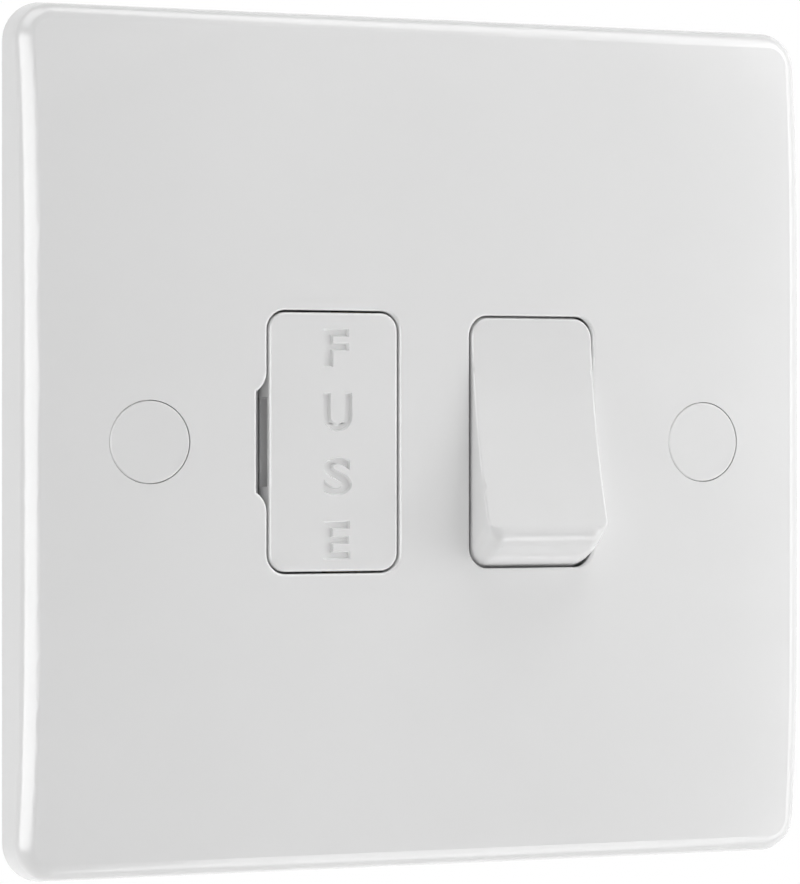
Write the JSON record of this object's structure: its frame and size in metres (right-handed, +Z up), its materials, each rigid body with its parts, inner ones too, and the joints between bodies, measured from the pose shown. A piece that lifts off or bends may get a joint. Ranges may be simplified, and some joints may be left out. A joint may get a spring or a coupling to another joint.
{
  "type": "fused spur unit",
  "caption": "Square white wall plate with a tipping rocker switch, a pull-out fuse drawer, capped fixing screws and a terminal housing behind.",
  "frame": {"origin": "middle of the plate, in the plane of the wall", "axes": "+Z up the wall, +Y into the wall, +X to the right as seen from the front"},
  "size_m": [0.086, 0.0337, 0.086],
  "materials": {
    "plate_white": "moulded, satin gloss",
    "rocker_white": "moulded, satin gloss",
    "carrier_white": "moulded, satin gloss",
    "cap_white": "moulded, satin gloss",
    "housing_white": "moulded, fine spark texture",
    "screw_steel": "zinc plated",
    "terminal_brass": "machined bar",
    "strip_brass": "stamped strip",
    "plated_brass": "nickel plated",
    "contact_silver": "dull silver",
    "fuse_ceramic": "unglazed",
    "plunger_plastic": "smooth",
    "spring_steel": "drawn wire"
  },
  "bodies": {
    "unit_frame": {"front_plate": "plate_white", "rear_housing": "housing_white", "housing_screws": "screw_steel", "fixing_screws": "screw_steel", "screw_cap_left": "cap_white", "screw_cap_right": "cap_white", "live_link": "strip_brass", "load_live_clip": "strip_brass", "neutral_post": "strip_brass", "earth_strap": "strip_brass", "fixed_contact_tips": "contact_silver", "terminal_screws": "screw_steel", "supply_live_contact": "strip_brass", "supply_neutral_contact": "strip_brass", "terminal_supply_earth": "terminal_brass", "terminal_supply_live": "terminal_brass", "terminal_supply_neutral": "terminal_brass", "terminal_load_earth": "terminal_brass", "terminal_load_live": "terminal_brass", "terminal_load_neutral": "terminal_brass"},
    "rocker": {"rocker": "rocker_white", "plunger_spring_live": "spring_steel", "plunger_spring_neutral": "spring_steel"},
    "fuse_carrier": {"fuse_carrier": "carrier_white", "fuse_body": "fuse_ceramic", "fuse_end_caps": "plated_brass"},
    "contact_bar_live": {"contact_bar_live": "strip_brass", "moving_tip_live": "contact_silver"},
    "plunger_live": {"plunger_live": "plunger_plastic"},
    "contact_bar_neutral": {"contact_bar_neutral": "strip_brass", "moving_tip_neutral": "contact_silver"},
    "plunger_neutral": {"plunger_neutral": "plunger_plastic"}
  },
  "joints": [
    {"name": "rocker_tilt", "type": "hinge", "parent": "unit_frame", "child": "rocker", "pos_m": [0.01053, -0.0027, 0], "axis": [1, 0, 0], "range_deg": [0, 23.8]},
    {"name": "fuse_carrier_slide", "type": "slide", "parent": "unit_frame", "child": "fuse_carrier", "axis": [0, -1, 0], "range_m": [0, 0.014]},
    {"name": "contact_bar_live_tilt", "type": "hinge", "parent": "unit_frame", "child": "contact_bar_live", "pos_m": [0.00733, 0.0113, 0], "axis": [1, 0, 0], "range_deg": [-18, 0]},
    {"name": "plunger_live_slide", "type": "slide", "parent": "rocker", "child": "plunger_live", "axis": [0, -0.9785, 0.2062], "range_m": [0, 0.0006], "stiffness_N_per_m": 300, "springref_m": -0.001, "deforming": ["plunger_spring_live"]},
    {"name": "contact_bar_neutral_tilt", "type": "hinge", "parent": "unit_frame", "child": "contact_bar_neutral", "pos_m": [0.01373, 0.0113, 0], "axis": [1, 0, 0], "range_deg": [-18, 0]},
    {"name": "plunger_neutral_slide", "type": "slide", "parent": "rocker", "child": "plunger_neutral", "axis": [0, -0.9785, 0.2062], "range_m": [0, 0.0006], "stiffness_N_per_m": 300, "springref_m": -0.001, "deforming": ["plunger_spring_neutral"]}
  ],
  "couplings": [
    {"joint": "contact_bar_live_tilt", "follows": "rocker_tilt", "ratio": -0.7563},
    {"joint": "contact_bar_neutral_tilt", "follows": "rocker_tilt", "ratio": -0.7563}
  ]
}
